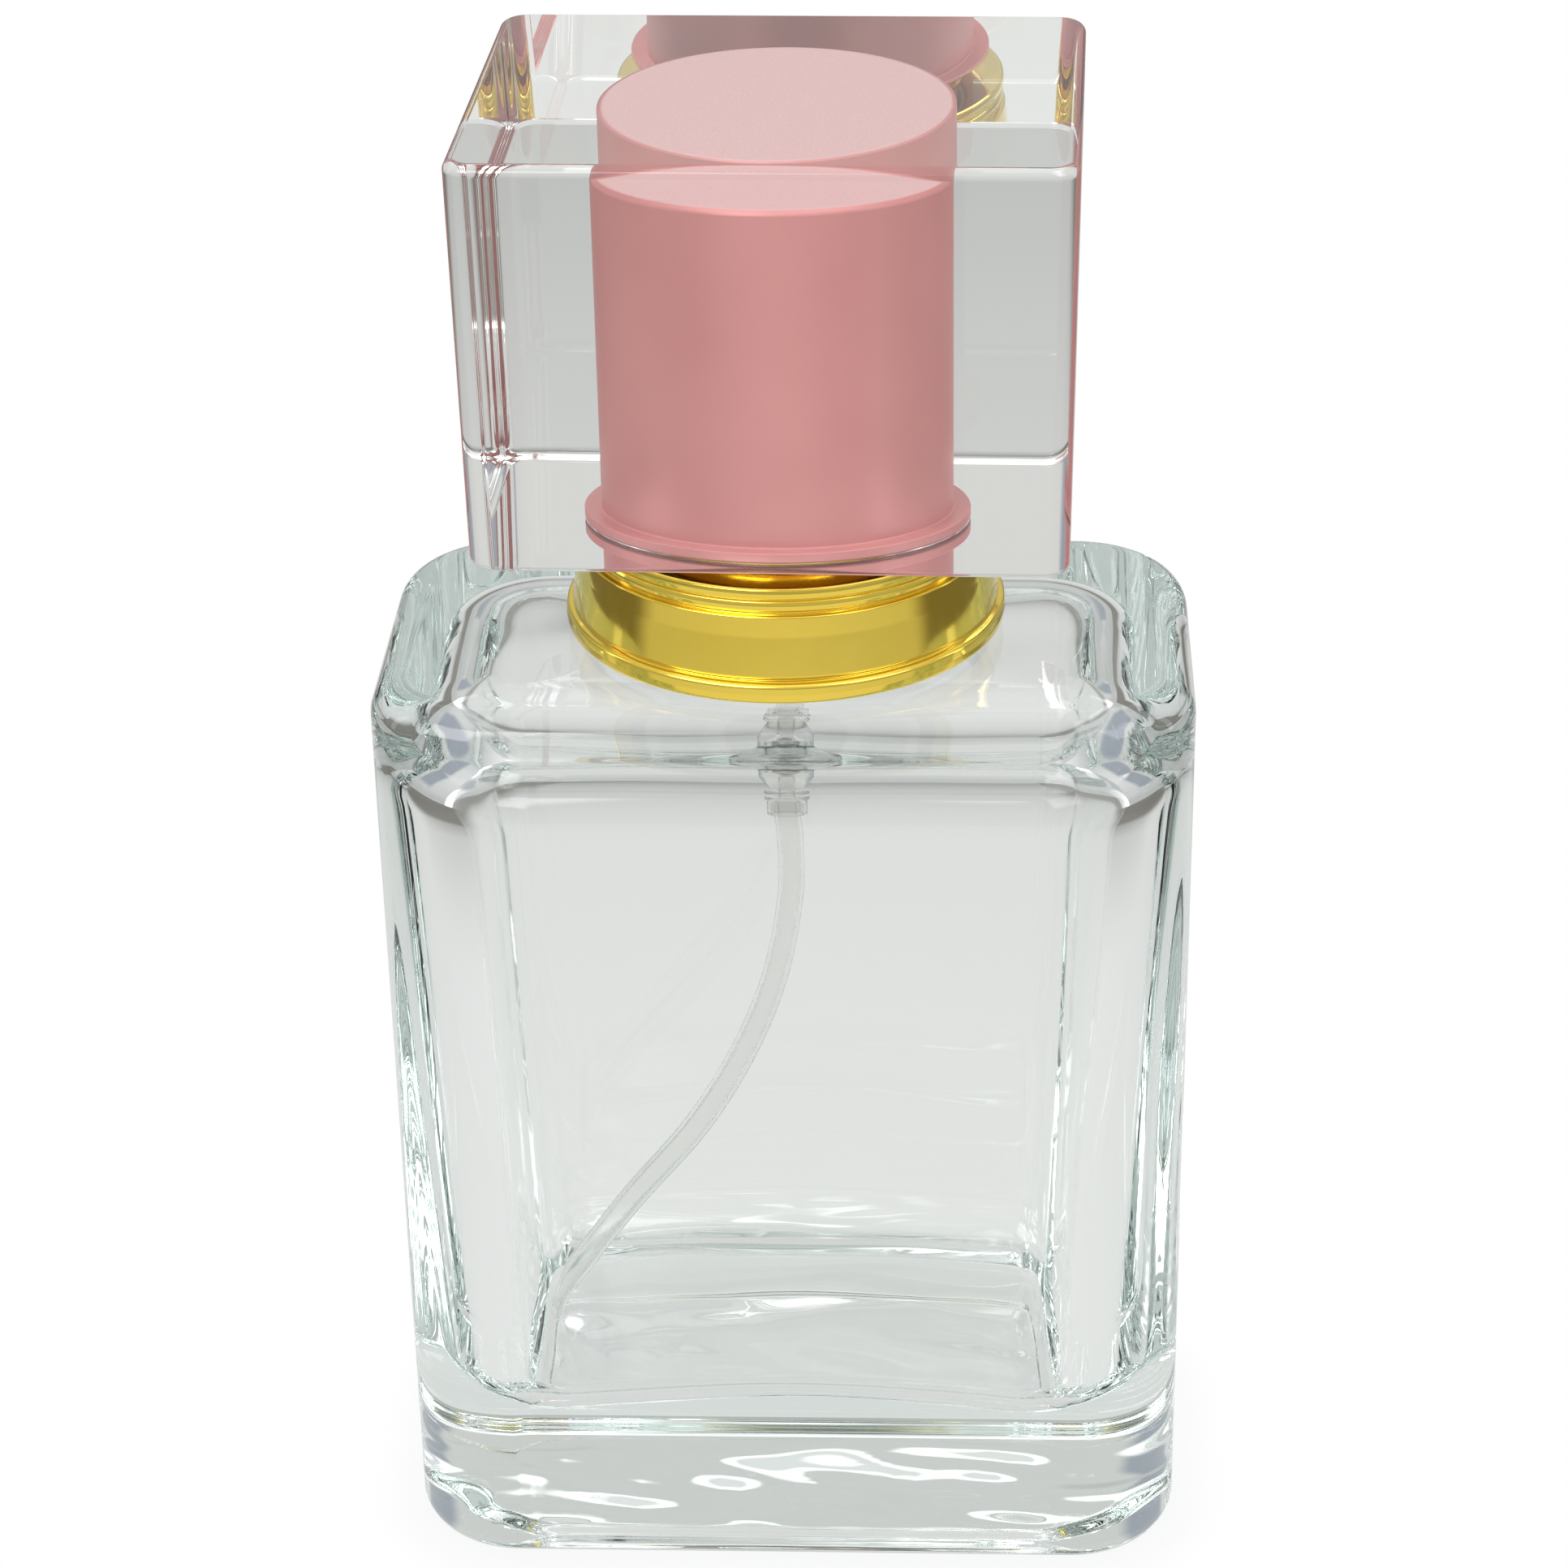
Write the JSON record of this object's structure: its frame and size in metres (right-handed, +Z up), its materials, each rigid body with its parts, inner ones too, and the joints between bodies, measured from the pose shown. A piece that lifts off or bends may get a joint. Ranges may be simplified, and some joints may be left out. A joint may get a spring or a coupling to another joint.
{
  "type": "perfume atomiser",
  "caption": "Rectangular clear glass perfume bottle with a crimped spray pump, stepped gold collar, curved dip tube and a clear block cap around a pink metal cup.",
  "frame": {"origin": "middle of the bottle's base, on the surface it stands on", "axes": "+Z up along the neck, pump and cap axis; +X across the bottle's wide side to the right; the front and the nozzle face -Y"},
  "size_m": [0.044, 0.026, 0.0842],
  "materials": {
    "clear_glass": "polished moulded glass, faint grey-green at the edges",
    "clear_acrylic": "clear polished acrylic",
    "gold_aluminium": "bright gold anodised",
    "pink_aluminium": "satin pink anodised",
    "bare_aluminium": "plain",
    "spring_steel": "drawn wire",
    "white_plastic": "satin moulded",
    "cloudy_plastic": "translucent moulded",
    "soft_seal": "soft grey"
  },
  "bodies": {
    "bottle": {"glass_bottle": "clear_glass", "neck_gasket": "soft_seal", "pump_housing": "cloudy_plastic", "stem_seal": "soft_seal", "stem_guide": "white_plastic", "crimp_ferrule": "bare_aluminium", "collar_liner": "white_plastic", "collar_skirt": "gold_aluminium", "dip_tube": "cloudy_plastic", "main_spring": "spring_steel"},
    "ball": {"inlet_ball": "spring_steel"},
    "stem": {"pump_stem": "white_plastic", "small_spring": "spring_steel"},
    "piston": {"pump_piston": "white_plastic"},
    "spray_button": {"actuator_button": "white_plastic", "actuator_sleeve": "gold_aluminium", "nozzle_insert": "white_plastic"},
    "cap": {"cap_block": "clear_acrylic", "cap_cup": "pink_aluminium", "cap_liner": "white_plastic"}
  },
  "joints": [
    {"name": "cap_pull", "type": "slide", "parent": "bottle", "child": "cap", "axis": [0, 0, 1], "range_m": [0, 0.03]},
    {"name": "pump_press", "type": "slide", "parent": "bottle", "child": "stem", "axis": [0, 0, -1], "range_m": [0, 0.0029], "stiffness_N_per_m": 1300, "springref_m": -0.002, "deforming": ["main_spring"]},
    {"name": "spray_turn", "type": "hinge", "parent": "stem", "child": "spray_button", "pos_m": [0, 0, 0.0691], "axis": [0, 0, 1], "continuous": true},
    {"name": "piston_slip", "type": "slide", "parent": "stem", "child": "piston", "axis": [0, 0, 1], "range_m": [0, 0.0004], "stiffness_N_per_m": 600, "springref_m": -0.0005, "deforming": ["small_spring"]},
    {"name": "ball_lift", "type": "slide", "parent": "bottle", "child": "ball", "axis": [0, 0, 1], "range_m": [0, 0.0005]}
  ]
}
